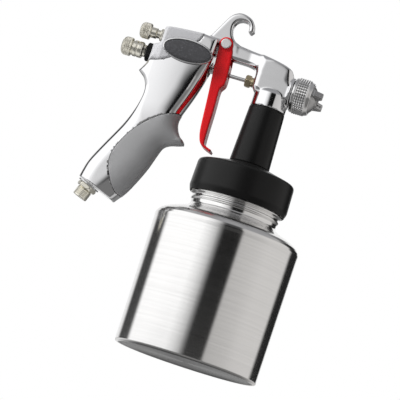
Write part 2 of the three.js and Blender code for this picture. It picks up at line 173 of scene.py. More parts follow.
def softened_field(points, reach=4.0, step=0.6, band=1.6):
    """Distance to an outline, smoothed away from it, so that a thick rounding shows no ridges.

    Solves v'' = v / reach^2 inside the outline, where -reach log v is a smooth distance.
    """
    exact = flat_field(points)
    low, high = points.min(0) - 3 * step, points.max(0) + 3 * step
    xs, zs = np.arange(low[0], high[0], step), np.arange(low[1], high[1], step)
    depth = -exact(xs[:, None], zs[None, :])
    value = np.exp(-np.maximum(depth, -step) / reach)
    loose = depth > band
    share = 1 / (4 + (step / reach) ** 2)
    for _ in range(400):
        around = (np.roll(value, 1, 0) + np.roll(value, -1, 0)
                  + np.roll(value, 1, 1) + np.roll(value, -1, 1))
        value = np.where(loose, around * share, value)
    change = -reach * np.log(value) - depth
    change[depth < 0] = 0

    def field(x, z):
        x, z = np.broadcast_arrays(x, z)
        u = np.clip((x - low[0]) / step, 1, len(xs) - 3)
        v = np.clip((z - low[1]) / step, 1, len(zs) - 3)
        i, j = np.floor(u + 0.5).astype(int), np.floor(v + 0.5).astype(int)
        fu, fv = u - i, v - j
        wu = [(0.5 - fu) ** 2 / 2, 0.75 - fu * fu, (0.5 + fu) ** 2 / 2]
        wv = [(0.5 - fv) ** 2 / 2, 0.75 - fv * fv, (0.5 + fv) ** 2 / 2]
        smooth, inner = 0, 0
        for a in range(3):
            for b in range(3):
                weight = wu[a] * wv[b]
                smooth = smooth + weight * (depth + change)[i + a - 1, j + b - 1]
                inner = inner + weight * depth[i + a - 1, j + b - 1]
        plain = exact(x, z)
        return plain + (-smooth - plain) * ramp(inner, band, band + 1.5)

    return field


def slab(flat, half, edge):
    """An outline's field made into a plate of that half width in Y. half and edge may vary."""
    def field(x, y, z):
        wide = half(x, z) if callable(half) else half
        soft = edge(x, z) if callable(edge) else edge
        return rounded(flat(x, z), np.abs(y) - wide, soft)
    return field


def cylinder(axis, centre, radius, low, high, edge=0.3):
    """A rod along axis 0, 1 or 2, through centre in the other two."""
    def field(*p):
        across = [c for k, c in enumerate(p) if k != axis]
        radial = np.hypot(across[0] - centre[0], across[1] - centre[1]) - radius
        along = np.abs(p[axis] - (low + high) / 2) - (high - low) / 2
        return rounded(radial, along, edge)
    return field


def fluid_rod(radius, low, high, edge=0.3):
    """A rod on the line of the fluid needle."""
    return cylinder(0, (0, FLUID_Z), radius, low, high, edge)


def rod_between(start, end, radius, edge=0.3):
    """A rod from one point to another."""
    start, end = np.array(start, float), np.array(end, float)
    length = np.linalg.norm(end - start)
    way = (end - start) / length

    def field(x, y, z):
        dx, dy, dz = x - start[0], y - start[1], z - start[2]
        along = dx * way[0] + dy * way[1] + dz * way[2]
        radial = np.sqrt(np.maximum(dx * dx + dy * dy + dz * dz - along * along, 0))
        return rounded(radial - radius, np.abs(along - length / 2) - length / 2, edge)
    return field


def blended(a, b, soft):
    """Smooth union of two distances."""
    mix = np.clip(0.5 + 0.5 * (b - a) / soft, 0, 1)
    return b + (a - b) * mix - soft * mix * (1 - mix)


def join(first, *others, soft=1.0):
    def field(x, y, z):
        found = first(x, y, z)
        for other in others:
            found = blended(found, other(x, y, z), soft)
        return found
    return field


def meet(first, *others, soft=0.4):
    def field(x, y, z):
        found = first(x, y, z)
        for other in others:
            found = -blended(-found, -other(x, y, z), soft)
        return found
    return field


def minus(field, grow=0.0):
    """The outside of a shape, for cutting it out of another."""
    return lambda x, y, z: grow - field(x, y, z)


def only_flat(flat):
    return lambda x, y, z: flat(x, z) + 0 * y


def ramp(value, low, high):
    t = np.clip((value - low) / (high - low), 0, 1)
    return t * t * (3 - 2 * t)


# ---- meshes ----
def net(field, low, high, step, edges=()):
    """Vertices and quads of the surface where the field is zero (surface nets), pulled onto it.

    edges are pairs of fields whose surfaces meet in a sharp edge: points near it go onto it.
    """
    step *= FINE
    axes = [np.arange(a - 2 * step, b + 3 * step, step) for a, b in zip(low, high)]
    shape = tuple(len(a) for a in axes)
    x, y, z = axes[0][:, None, None], axes[1][None, :, None], axes[2][None, None, :]
    value = np.broadcast_to(field(x, y, z), shape).astype(np.float32)
    value = np.where(value == 0, 1e-6, value)
    solid = value < 0
    cells = tuple(n - 1 for n in shape)

    def corner(array, i, j, k):
        return array[i:i + cells[0], j:j + cells[1], k:k + cells[2]]

    corners = [(i, j, k) for i in (0, 1) for j in (0, 1) for k in (0, 1)]
    count = sum(corner(solid, *c).astype(np.int8) for c in corners)
    mixed = (count > 0) & (count < 8)
    index = np.full(cells, -1)
    index[mixed] = np.arange(mixed.sum())
    total = np.zeros((mixed.sum(), 3))
    hits = np.zeros(mixed.sum())
    for axis in range(3):
        for c in corners:
            if c[axis]:
                continue
            far = tuple(v + (n == axis) for n, v in enumerate(c))
            a, b = corner(value, *c)[mixed], corner(value, *far)[mixed]
            cross = (a < 0) != (b < 0)
            point = np.tile(np.array(c, float), (len(a), 1))
            point[:, axis] += np.where(cross, a / np.where(cross, a - b, 1), 0)
            total += point * cross[:, None]
            hits += cross
    cell = np.argwhere(mixed)
    points = (cell + total / hits[:, None]) * step + [a[0] for a in axes]
    quads = []
    for axis in range(3):
        u, v = (axis + 1) % 3, (axis + 2) % 3
        lower = [slice(1, n - 1) for n in shape]
        upper = list(lower)
        lower[axis], upper[axis] = slice(0, shape[axis] - 1), slice(1, shape[axis])
        a, b = solid[tuple(lower)], solid[tuple(upper)]
        for flip, wanted in ((False, a & ~b), (True, ~a & b)):
            at = np.argwhere(wanted)
            at[:, u] += 1
            at[:, v] += 1
            ring = []
            for du, dv in ((1, 1), (0, 1), (0, 0), (1, 0)):
                c = at.copy()
                c[:, u] -= du
                c[:, v] -= dv
                ring.append(index[c[:, 0], c[:, 1], c[:, 2]])
            face = np.stack(ring[::-1] if flip else ring, 1)
            quads.append(face[(face >= 0).all(1)])
    points = settle(field, points, step)
    for a, b in edges:
        x, y, z = points.T
        near = (np.abs(a(x, y, z)) < 0.6 * step) & (np.abs(b(x, y, z)) < 0.6 * step)
        for _ in range(4):
            points[near] = pulled(a, points[near])
            points[near] = pulled(b, points[near])
    return points, np.concatenate(quads)


def pulled(field, points):
    """Points moved once along the field's gradient towards its zero surface."""
    h = 0.05
    x, y, z = points.T
    slope = np.stack([
        field(x + h, y, z) - field(x - h, y, z),
        field(x, y + h, z) - field(x, y - h, z),
        field(x, y, z + h) - field(x, y, z - h)], 1) / (2 * h)
    size = np.maximum((slope ** 2).sum(1), 0.2)
    return points - (field(x, y, z) / size)[:, None] * slope


def settle(field, points, step, rounds=3):
    """Moves points onto the field's zero surface, but none further than a step."""
    start = points.copy()
    for _ in range(rounds):
        points = pulled(field, points)
    shift = points - start
    far = np.linalg.norm(shift, axis=1)
    return start + shift * np.minimum(1, step / np.maximum(far, 1e-9))[:, None]


def basis(way):
    """Two unit vectors across a direction, and the direction, as a right-handed set."""
    way = np.array(way, float) / np.linalg.norm(way)
    side = np.cross([0, 1, 0], way) if abs(way[1]) < 0.9 else np.array([1.0, 0, 0])
    side /= np.linalg.norm(side)
    return side, np.cross(way, side), way


def turned(profile, origin, way, columns=96, relief=None, bore=0.0):
    """A lathe surface: profile points are (height along way, radius), from end to end.

    relief(height, angle) gives how much deeper than the profile the surface lies, outside the bore.
    """
    e1, e2, axis = basis(way)
    profile = guarded(profile)
    angles = np.arange(columns) * 2 * math.pi / columns
    points, rows = [], []
    for height, radius in profile:
        if radius < 1e-6:
            rows.append([len(points)] * columns)
            points.append(np.array(origin) + axis * height)
            continue
        depth = relief(height, angles) if relief and radius > bore else 0 * angles
        ring = (np.array(origin) + axis * height
                + np.outer((radius - depth) * np.cos(angles), e1)
                + np.outer((radius - depth) * np.sin(angles), e2))
        rows.append(list(range(len(points), len(points) + columns)))
        points.extend(ring)
    faces = []
    for low, high in zip(rows, rows[1:]):
        for n in range(columns):
            m = (n + 1) % columns
            face = list(dict.fromkeys([low[n], low[m], high[m], high[n]]))
            if len(face) > 2:
                faces.append(face)
    return np.array(points), faces


def guarded(profile, inset=0.35):
    """The profile with a point close to each end of its long lines, so that they shade flat."""
    found = [profile[0]]
    for a, b in zip(profile, profile[1:]):
        a, b = np.array(a, float), np.array(b, float)
        length = np.linalg.norm(b - a)
        if length > 4 * inset:
            step = (b - a) / length * inset
            found += [tuple(a + step), tuple(b - step)]
        found.append(tuple(b))
    return found


def softened(profile, size=0.25, steps=2):
    """The profile with its corners rounded."""
    points = [np.array(p, float) for p in profile]
    found = [points[0]]
    for before, here, after in zip(points, points[1:], points[2:]):
        reach = min(size, np.linalg.norm(here - before) * 0.45, np.linalg.norm(after - here) * 0.45)
        a = here + (before - here) / max(np.linalg.norm(before - here), 1e-9) * reach
        b = here + (after - here) / max(np.linalg.norm(after - here), 1e-9) * reach
        for k in range(steps + 1):
            t = k / steps
            found.append(a * (1 - t) ** 2 + 2 * here * t * (1 - t) + b * t * t)
    return [*found, points[-1]]


def stepped(profile, low, high, step):
    """The profile with more points between two heights, for relief to show."""
    found = [profile[0]]
    for (h0, r0), (h1, r1) in zip(profile, profile[1:]):
        inside = min(h0, h1) >= low - 1e-6 and max(h0, h1) <= high + 1e-6
        n = max(1, round(abs(h1 - h0) / (step * FINE))) if inside else 1
        found += [(h0 + (h1 - h0) * k / n, r0 + (r1 - r0) * k / n) for k in range(1, n + 1)]
    return found


def wave(value):
    """A triangle wave from 0 to 1 and back."""
    return np.abs(value - np.floor(value) - 0.5) * 2


def knurl(low, high, count, depth, radius):
    """Diamond knurling between two heights, count round the piece."""
    pitch = 2 * math.pi * radius / count

    def relief(height, angles):
        if not low <= height <= high:
            return 0 * angles
        fade = min(1, (height - low) / 0.4, (high - height) / 0.4)
        turn = angles * count / (2 * math.pi)
        along = height / pitch
        return depth * max(fade, 0) * (1 - np.minimum(wave(turn + along), wave(turn - along)))

    return relief


def studs(low, high, count, depth, pitch):
    """Flat-topped ribs between two heights, count round the piece, notched across into studs."""
    def relief(height, angles):
        if not low <= height <= high:
            return 0 * angles
        fade = min(1, (height - low) / 0.3, (high - height) / 0.3)
        rib = np.minimum(1, 1.7 * wave(angles * count / (2 * math.pi)))
        notch = 0.6 + 0.4 * wave((height - low) / pitch)
        return depth * max(fade, 0) * (1 - rib * notch)

    return relief


def thread(low, high, pitch, depth):
    """A screw thread between two heights."""
    def relief(height, angles):
        if not low <= height <= high:
            return 0 * angles
        return depth * wave(height / pitch - angles / (2 * math.pi))
    return relief


def placed(name, data):
    """A new object in the scene."""
    made = bpy.data.objects.new(name, data)
    bpy.context.scene.collection.objects.link(made)
    return made


def add(name, shape, finish, body, replaces=(), crease=35):
    """Makes a piece from (points in mm, faces) and ties it to the frame."""
    points, faces = shape
    mesh = bpy.data.meshes.new(name)
    mesh.from_pydata((np.asarray(points) * MM).tolist(), [], [list(map(int, f)) for f in faces])
    mesh.materials.append(finish)
    mesh.polygons.foreach_set("use_smooth", [True] * len(mesh.polygons))
    if crease:
        mesh.set_sharp_from_angle(angle=math.radians(crease))
    piece = placed(name, mesh)
    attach(piece, body)
    if replaces:
        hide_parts(*replaces)
    return piece


def carved(name, replaced, field, step, finish, body, crease=40, edges=()):
    """Adds a piece made from a field, in the room of the CAD node that it replaces."""
    add(name, net(field, *span(replaced), step, edges), finish, body, [replaced], crease)


# ---- materials ----
def node(tree, kind, inputs=(), **settings):
    """Adds a shader node. inputs holds values, or sockets to link, by name or number."""
    made = tree.nodes.new("ShaderNode" + kind)
    for name, value in settings.items():
        setattr(made, name, value)
    for key, value in dict(inputs).items():
        if isinstance(value, bpy.types.NodeSocket):
            tree.links.new(value, made.inputs[key])
        else:
            made.inputs[key].default_value = value
    return made


def maths(tree, kind, *values):
    return node(tree, "Math", enumerate(values), operation=kind).outputs[0]


def mixed(tree, factor, a, b):
    return node(tree, "Mix", {"Factor": factor, "A": a, "B": b}, data_type="RGBA").outputs["Result"]


def finish_of(name, colour, roughness, metallic=0.0, grain=900, bump=0.02, mottle=0.06,
              stretch=(1, 1, 1), patches=60, vary=0.15, coat=0.0, anisotropic=0.0, specular=0.5,
              speckle=0.0, speckle_scale=2500):
    """A procedural finish: fine grain in colour, roughness and height, in object space."""
    made = bpy.data.materials.new(name)
    made.use_nodes = True
    tree = made.node_tree
    shader = tree.nodes["Principled BSDF"]
    for socket, value in (("Metallic", metallic), ("Coat Weight", coat), ("Coat Roughness", 0.12),
                          ("Anisotropic", anisotropic), ("Specular IOR Level", specular)):
        shader.inputs[socket].default_value = value

    def shade(factor):
        return (*[min(1, c * factor) for c in colour], 1)

    place = node(tree, "TexCoord").outputs["Object"]
    where = node(tree, "Mapping", {"Vector": place, "Scale": stretch}).outputs["Vector"]
    noise = node(tree, "TexNoise", {"Vector": where, "Scale": grain, "Detail": 4}).outputs["Fac"]
    broad = node(tree, "TexNoise", {"Vector": where, "Scale": patches, "Detail": 3}).outputs["Fac"]
    base = mixed(tree, broad, shade(1 - mottle), shade(1 + mottle))
    if speckle:
        dots = node(tree, "TexNoise", {"Vector": place, "Scale": speckle_scale}).outputs["Fac"]
        sharp = node(tree, "MapRange", {"Value": dots, "From Min": 0.62, "From Max": 0.72})
        base = mixed(tree, sharp.outputs["Result"], base, shade(1 + speckle))
    tree.links.new(base, shader.inputs["Base Color"])

    rough = node(tree, "MapRange", {"Value": noise, "To Min": roughness * (1 - vary),
                                    "To Max": roughness * (1 + vary)})
    tree.links.new(rough.outputs["Result"], shader.inputs["Roughness"])
    if bump:
        height = node(tree, "Bump", {"Strength": 0.5, "Distance": bump * MM, "Height": noise})
        tree.links.new(height.outputs["Normal"], shader.inputs["Normal"])
    if anisotropic:
        shader.inputs["Anisotropic Rotation"].default_value = 0.25
        tangent = node(tree, "Tangent", direction_type="RADIAL", axis="Z")
        tree.links.new(tangent.outputs["Tangent"], shader.inputs["Tangent"])
    return made


def painted_spun_reflection(made, below, painted_shade_level):
    """Paints shade into a finish in two lobes under a height. It is a painted reflection, in place of
    the highlight that a disc turned on a lathe shows.
    """
    tree = made.node_tree
    socket = tree.nodes["Principled BSDF"].inputs["Base Color"]
    place = node(tree, "TexCoord").outputs["Object"]
    flat = node(tree, "VectorMath", {0: place, 1: (1, 1, 0)}, operation="MULTIPLY")
    out = node(tree, "VectorMath", {0: flat.outputs["Vector"]}, operation="NORMALIZE")
    across = node(tree, "SeparateXYZ", {0: out.outputs["Vector"]}).outputs[1]
    height = node(tree, "SeparateXYZ", {0: place}).outputs[2]
    # Painted shade, strongest across the Y axis, standing in for the reflection on the turned
    # underside.
    lobes = maths(tree, "POWER", maths(tree, "ABSOLUTE", across), 1.5)
    share = maths(tree, "MULTIPLY", lobes, maths(tree, "LESS_THAN", height, below * MM))
    plain = socket.links[0].from_socket
    tree.links.new(mixed(tree, share, plain, (painted_shade_level, painted_shade_level, painted_shade_level, 1)), socket)


CHROME = finish_of("polished_metal", (0.80, 0.80, 0.81), 0.10, 1, grain=300, bump=0.004,
                   mottle=0.02)
SPUN = finish_of("spun_aluminium", (0.80, 0.795, 0.79), 0.15, 1, grain=500, bump=0.006,
                 stretch=(0.06, 0.06, 6), patches=130, mottle=0.08, vary=0.3, anisotropic=0.7)
# Painted reflection: shade painted in two lobes on the cup's underside, below 0.8 mm.
painted_spun_reflection(SPUN, 0.8, 0.26)
NICKEL = finish_of("nickel", (0.9, 0.87, 0.77), 0.2, 1, grain=1500, bump=0.008, mottle=0.1)
BRASS = finish_of("brass", (0.52, 0.44, 0.29), 0.18, 1, grain=1500, bump=0.008, mottle=0.12)
STEEL = finish_of("steel", (0.72, 0.72, 0.72), 0.14, 1, grain=1500, bump=0.008, mottle=0.08)
CAP_METAL = finish_of("cap_metal", (0.5, 0.5, 0.5), 0.34, 1, grain=1800, bump=0.01)
WHITE_METAL = finish_of("bright_screw", (0.9, 0.89, 0.88), 0.3, 1, grain=1500, bump=0.005)
BLACK = finish_of("black_coat", (0.006, 0.006, 0.006), 0.34, grain=1800, bump=0.02, mottle=0.2,
                  specular=0.22)
RED = finish_of("red_paint", (0.47, 0.006, 0.009), 0.3, grain=1200, bump=0.008, mottle=0.06,
                coat=0.2, specular=0.14)
GREY_PAINT = finish_of("grey_paint", (0.34, 0.34, 0.35), 0.42, grain=2200, bump=0.015,
                       mottle=0.05, speckle=0.35)
RUBBER = finish_of("grey_rubber", (0.24, 0.24, 0.243), 0.5, grain=2600, bump=0.03, mottle=0.08)
CHARCOAL = finish_of("charcoal", (0.034, 0.034, 0.037), 0.4, grain=2400, bump=0.015,
                     speckle=3.0, speckle_scale=1900)
SEAL = finish_of("white_seal", (0.74, 0.73, 0.69), 0.45, grain=900, bump=0.01)

PLAIN_NODES = {  # CAD nodes inside the gun whose shape is right as it is
    "lid_gasket": SEAL, "tube_strainer": SEAL, "needle_packing": SEAL, "cap_seal_ring": SEAL,
    "siphon_tube": STEEL, "fluid_nozzle": STEEL, "air_valve_stem": STEEL,
    "air_valve_seat": BRASS, "spring_seat": BRASS, "fan_valve_needle": BRASS,
}


# ---- the casting, its housing and its grip ----
HANDLE_HALF = span("gun_body")[1][1]
HOUSING_HALF = span("rear_housing")[1][1]
ARM_HALF = 5.4
HEAD_HALF = 10.4
HOOK_HALF = 4.5
SEAM = 0.22  # half the width of the line between two pieces

BOSS_RADIUS = 13.2
DOME_Z, DOME_RADIUS = 194, 17.2  # the ball that rounds the boss off
NOSE_REAR = 11.5

HANDLE_LINE = outline(
    (-94.8, 201.8),
    [(-99.2, 194.6)],
    [(-97.2, 192.9), (-93, 189.2), (-89.7, 182.3), (-90, 173), (-93.5, 162), (-99.5, 149),
     (-107.5, 133), (-113.2, 120.5), (-115.4, 112), (-117, 104), (-121, 92)],
    [(-96, 80)],
    [(-90.5, 91), (-86, 98), (-79.6, 107), (-71.5, 125), (-66.8, 140), (-64.6, 145.3), (-60.5, 148.2),
     (-54.5, 149.9), (-50.7, 151.2)],
    [(-51.6, 153.6), (-55, 156.2), (-58.2, 160.8), (-59.7, 166.5), (-58.6, 172), (-56, 180),
     (-53.2, 189), (-50.4, 200), (-49.5, 207), (-49.1, 214), (-49, 224)],
    [(-49, 231.8)],
    [(-62, 233.2)],
    [(-96, 231)],
)
handle_side = softened_field(HANDLE_LINE)
arm_side = flat_field(outline(
    (-66, 222),
    [(-66, 234)],
    [(-45, 234.2), (-30, 233.2), (-10, 230.3), (4, 227.4), (9, 224.5)],
    [(9, 214)],
    [(-12, 214)],
    [(-15.4, 218.4), (-22, 220.6), (-37, 221), (-50, 221.5)],
))
hook_side = flat_field(outline(
    (-60, 228),
    [(-56.6, 234.2)],
    [(-51.8, 243.5), (-46.8, 252.6), (-42.4, 256.2), (-37.5, 257.02), (-31, 254.8), (-27.2, 249.8),
     (-26.6, 246)],
    [(-28.4, 243.8)],
    [(-30.7, 244.7)],
    [(-31.2, 248.8), (-33.4, 251.2), (-37, 251.6), (-40.3, 249.9), (-42, 246.8), (-41.9, 243),
     (-40.3, 238.4), (-37.5, 235.4), (-34, 233), (-33, 226)],
))
head_side = flat_field(outline(
    (-15.2, 206),
    [(-15.6, 219)],
    [(-14, 230.4)],
    [(-2, 228.6), (7, 226.3), (11, 223.4), (12.6, 219)],
    [(12.9, 203)],
    [(-13, 203)],
))
housing_side = flat_field(outline(
    (-94.8, 202.8),
    [(-94.8, 216.5)],
    [(-93, 217.2), (-89.7, 218.5), (-89.4, 220.4)],
    [(-89.4, 230.4)],
    [(-76, 231.8), (-59.4, 232.8)],
    [(-61.5, 226.6), (-68.9, 217.3), (-78, 209.1), (-86.2, 204.9), (-94.8, 202.8)],
))
grip_side = flat_field(outline(
    (-60.3, 171),
    [(-66, 168.8), (-71.3, 165.8), (-76.9, 161.5), (-82.3, 156.3), (-87.1, 150.7),
     (-91.4, 144.1), (-95.3, 135.6), (-97.4, 127.2), (-96.6, 120), (-93.8, 113.1),
     (-90.2, 106.9), (-85.5, 101.6)],
    [(-70, 101.4)],
    [(-40, 140)],
    [(-40, 160)],
    [(-50, 171.4)],
))
core_side = flat_field(outline(
    (-110, 176),
    [(-67.5, 176)],
    [(-68.5, 160), (-72, 143), (-80, 121), (-88, 105)],
    [(-92, 96)],
    [(-125, 96)],
    [(-125, 176)],
))
housing_room = flat_field(outline(
    (-120, 202),
    [(-94.9, 202.4)],
    [(-86, 204.6), (-77.8, 208.8), (-68.6, 217.1), (-61.3, 226.4), (-59.1, 232.8),
     (-58.9, 240)],
    [(-120, 240)],
))

HANDLE_FRONT = [(150, -62.5), (160, -59.3), (172, -58.6), (189, -53.2), (214, -49.1)]  # Z, X
HANDLE_REAR = [(150, -99), (162, -93.4), (174, -90), (214, -90)]


def handle_edge(x, z):
    """Oval low down. Higher up the back is firm and the front a nose, which ends at the arm."""
    front = ramp(x - 0.36 * (z - 180), -82, -66)
    high = ramp(z, 150, 176)
    nose = high * (1 - ramp(z, 200, 220))
    over = 11 - 8 * high + front * (6 - 6 * high + 4.5 * nose)
    deep = 10.5 - 7.5 * high + front * (7 * nose - 1.5 * (1 - high))
    return over, deep


def handle_half(x, z):
    """Half the handle's width: its sides bulge a little, most behind the middle."""
    ahead = np.interp(z, *zip(*HANDLE_FRONT)) - x
    behind = x - np.interp(z, *zip(*HANDLE_REAR))
    fall = (2 * np.clip(1 - ahead / 16.5, 0, 1) ** 2 * (1 - ramp(z, 192, 226))
            + 1.6 * np.clip(1 - behind / 26, 0, 1.4) ** 2)
    tang = 3.6 * ramp(-x, 90, 99) * ramp(z, 160, 180)
    return HANDLE_HALF - fall * ramp(z, 150, 176) - tang


HANDLE_END = (-114.9, 106.3), (-0.339, -0.941)  # a point of the handle's end face, and its normal


def above_end(x, y, z):
    """Distance past the handle's end face."""
    (px, pz), (nx, nz) = HANDLE_END
    return (x - px) * nx + (z - pz) * nz + 0 * y


def arm_width(x, z):
    return ARM_HALF + (HEAD_HALF - 1.5 - ARM_HALF) * ramp(x, -24, -11)


def head_edge(x, z):
    """Broadly rounded at the rear, sharp at the front and top."""
    return 4.6 - 3.2 * ramp(x, -13, -4)


def head_bevel(x, y, z):
    """The bevel down the head's front corners, wider towards the top."""
    return (x - 8.3 - 0.25 * (223 - z)) * 0.66 + (np.abs(y) - HEAD_HALF) * 0.75


handle_form = meet(slab(handle_side, handle_half, handle_edge), above_end, soft=0.8)
core_form = slab(core_side, 9, 1)


def housing_half(x, z):
    return HOUSING_HALF - (HOUSING_HALF - 9.4) * np.clip((-86.4 - x) / 9, 0, 1)


def housing_edge(x, z):
    """Crisp at the front, round about the two bosses at the rear."""
    return 1.5 + 4.3 * ramp(-x, 84, 92)


housing_form = slab(housing_side, housing_half, housing_edge)


def bores():
    """Bores that show at their mouths or leave room for moving pieces."""
    low, high = span("fluid_needle")
    seat = span("spring_seat")[0][0]
    return [
        fluid_rod(1.9, low[0], high[0], 0.1),
        fluid_rod(3.9, -20, -4, 0.1),
        fluid_rod(4.6, -64, -40, 0.1),
        fluid_rod(5.6, span("air_valve_nut")[0][0] + 4.1, -40, 0.1),
        fluid_rod(6, seat - 10, -60.5, 0.1),
        fluid_rod(6.3, 6, 30, 0.1),
        cylinder(0, (0, FAN_Z), 4.2, -100, -64, 0.1),
        cylinder(1, (PIVOT_X, PIVOT_Z), 2.5, -20, 20, 0.1),
    ]


def casting():
    boss_top = span("neck_sleeve")[1][2]
    boss = meet(
        cylinder(2, (0, 0), BOSS_RADIUS, boss_top + 0.3, 230, 0.3),
        lambda x, y, z: np.sqrt(x * x + y * y + (z - DOME_Z) ** 2) - DOME_RADIUS, soft=1)
    spigot = cylinder(2, (0, 0), 9.2, boss_top - 12, boss_top + 4, 0.3)
    nose = join(fluid_rod(11.8, NOSE_REAR, 13.9, 0.8),
                fluid_rod(10, NOSE_REAR, 23.2, 0.5), soft=0.3)
    block = meet(slab(head_side, HEAD_HALF, head_edge), head_bevel, soft=0.4)
    head = join(block, slab(arm_side, arm_width, 3.4), soft=3)
    head = join(head, boss, soft=0.5)
    head = join(head, nose, soft=1)
    upper = join(head, slab(hook_side, HOOK_HALF, 1.7), soft=1.6)
    whole = join(upper, handle_form, soft=1.4)
    shell = meet(only_flat(grip_side), minus(core_form))
    cuts = [minus(only_flat(housing_room)), minus(shell, SEAM), *map(minus, bores())]
    whole = join(whole, spigot, soft=0.3)
    sharp = [(whole, minus(shell, SEAM)), (whole, minus(only_flat(housing_room)))]
    return meet(whole, *cuts, soft=0.08), sharp


def grip():
    skin = slab(handle_side, lambda x, z: handle_half(x, z) + 0.25, handle_edge)
    edge = lambda x, y, z: only_flat(grip_side)(x, y, z) + SEAM
    return meet(skin, edge, minus(core_form, 0.3), soft=0.08), [(skin, edge)]


def housing():
    return meet(housing_form, *map(minus, bores()), soft=0.5)


def body_pieces():
    field, edges = casting()
    carved("gun_casting", "gun_body", field, 0.75, CHROME, "gun", 50, edges)
    carved("rear_shell", "rear_housing", housing(), 0.55, GREY_PAINT, "gun", 50)
    field, edges = grip()
    carved("soft_grip", "grip_insert", field, 0.7, RUBBER, "gun", 60, edges)


# ---- badges, with no lettering ----
def oval(size, y_of, rings):
    """Rows of an oval dish: each ring is (share of the size, height)."""
    count = 96
    angles = np.arange(count) * 2 * math.pi / count
    points, faces = [], []
    for inset, height in rings:
        a, b = size[0] - inset, size[1] - inset
        points += [(a * math.cos(t), y_of(height), b * math.sin(t)) for t in angles]
    for r in range(len(rings) - 1):
        for n in range(count):
            m = (n + 1) % count
            faces.append([r * count + n, r * count + m, (r + 1) * count + m, (r + 1) * count + n])
    return points, faces, count


def badges():
    for name, side in (("left", -1), ("right", 1)):
        low, high = span(f"badge_rim_{name}")
        centre = (low + high) / 2
        size = ((high - low) / 2)[[0, 2]]
        inner = min(abs(low[1]), abs(high[1]))

        def level(height):
            return side * (inner + height)

        rim_rows = [(0.0, 0), (0.0, 0.7), (0.25, 1.05), (0.75, 1.15), (1.05, 0.95), (1.2, 0.5),
                    (1.2, 0), (0.0, 0)]
        badge_piece(oval(size, level, rim_rows), centre, side, f"badge_ring_{name}", CHROME,
                    f"badge_rim_{name}", capped=False)
        disc_rows = [(1.4, 0), (1.4, 0.45), (1.7, 0.62), (4, 0.72), (6.5, 0.78), (8.4, 0.8)]
        badge_piece(oval(size, level, disc_rows), centre, side, f"badge_face_{name}", CHARCOAL,
                    f"badge_{name}", capped=True)


def badge_piece(shape, centre, side, name, finish, replaced, capped):
    points, faces, count = shape
    points = np.array(points) + [centre[0], 0, centre[2]]
    if capped:
        faces.append(list(range(count))[::-1])
        faces.append(list(range(len(points) - count, len(points))))
    if side > 0:
        faces = [f[::-1] for f in faces]
    add(name, (points, faces), finish, "gun", [replaced], crease=40)


# ---- trigger and its pivot ----
TRIGGER_HALF = span("trigger")[1][1]
SHEET = 1.4
trigger_side = flat_field(outline(
    (-47.6, 230),
    [(-47.1, 221), (-45.8, 207), (-44, 190), (-41.9, 167), (-40.4, 159.5), (-38.4, 155.2),
     (-35.2, 153), (-29.6, 151)],
    [(-29.2, 152.7)],
    [(-34, 154.4), (-35.6, 156.4), (-36.1, 164), (-36.5, 182), (-37.2, 196), (-36.5, 199),
     (-35, 201.4), (-34.6, 205), (-35.1, 214), (-36.3, 225), (-37.8, 230)],
))
channel_side = flat_field(outline(
    (-70, 245),
    [(-70, 150)],
    [(-41.2, 156)],
    [(-38.6, 157.6), (-37.5, 164), (-37.9, 182), (-38.6, 196), (-38.2, 199), (-36.5, 201.9),
     (-36, 205), (-36.4, 214), (-36.7, 216.5)],
    [(-30, 218.5)],
    [(-30, 245)],
))


def trigger():
    inner = TRIGGER_HALF - SHEET
    eye = cylinder(1, (PIVOT_X, PIVOT_Z), 5.2, -TRIGGER_HALF, TRIGGER_HALF, 0.5)
    sides = join(slab(trigger_side, TRIGGER_HALF, 1.1), eye, soft=0.8)
    channel = slab(channel_side, inner, 0.6)
    round_room = cylinder(1, (PIVOT_X, PIVOT_Z), 7, -inner, inner, 0.1)
    needle_hole = fluid_rod(2.4, -45, -25, 0.1)
    field = meet(sides, minus(channel), minus(round_room),
                 minus(cylinder(1, (PIVOT_X, PIVOT_Z), 2.4, -20, 20, 0.1)), minus(needle_hole),
                 soft=0.3)
    carved("trigger_lever", "trigger", field, 0.42, RED, "trigger", 50)


def pivot():
    low, high = span("pivot_screw")
    face = low[1]
    seat = -TRIGGER_HALF - 0.15
    head = cylinder(1, (PIVOT_X, PIVOT_Z), (high[0] - low[0]) / 2, face, seat, 0.6)
    shank = cylinder(1, (PIVOT_X, PIVOT_Z), 2.2, seat - 0.5, high[1], 0.3)
    carved("pivot_bolt", "pivot_screw", join(head, shank, soft=0.2), 0.3, WHITE_METAL, "gun")
    low, high = span("pivot_nut")
    body = meet(hexagon_field(1, (PIVOT_X, PIVOT_Z), 3.64, low[1], high[1]),
                minus(cylinder(1, (PIVOT_X, PIVOT_Z), 2.3, 0, 20, 0.1)), soft=0.2)
    carved("pivot_hex_nut", "pivot_nut", body, 0.3, STEEL, "gun")


def hexagon_field(axis, centre, apothem, low, high, chamfer=0.9):
    """A hexagon bar with its ends chamfered."""
    def field(*p):
        u, v = [c - o for c, o in zip([c for k, c in enumerate(p) if k != axis], centre)]
        sides = np.maximum(np.abs(v), np.abs(u) * math.sqrt(0.75) + np.abs(v) * 0.5) - apothem
        along = np.abs(p[axis] - (low + high) / 2) - (high - low) / 2
        corner = np.hypot(u, v) + (along + chamfer) * 0.6 - apothem * 1.12
        return np.maximum(np.maximum(sides, along), corner)
    return field


# ---- fluid side ----
AHEAD = (1, 0, 0)


def along_fluid(x):
    return (x, 0, FLUID_Z)


def needle():
    low, high = span("fluid_needle")
    length = high[0] - low[0]
    collar = -66.7 - low[0]
    profile = [(0, 0), (0, 1.2), (0.3, 1.4), (collar - 2.5, 1.4), (collar - 2.5, 2.6), (collar, 2.6),
               (collar, 1.4), (length - 9, 1.4), (length - 0.5, 0.5), (length, 0)]
    add("needle_rod", turned(softened(profile, 0.15), along_fluid(low[0]), AHEAD, 32), STEEL,
        "needle", ["fluid_needle"])


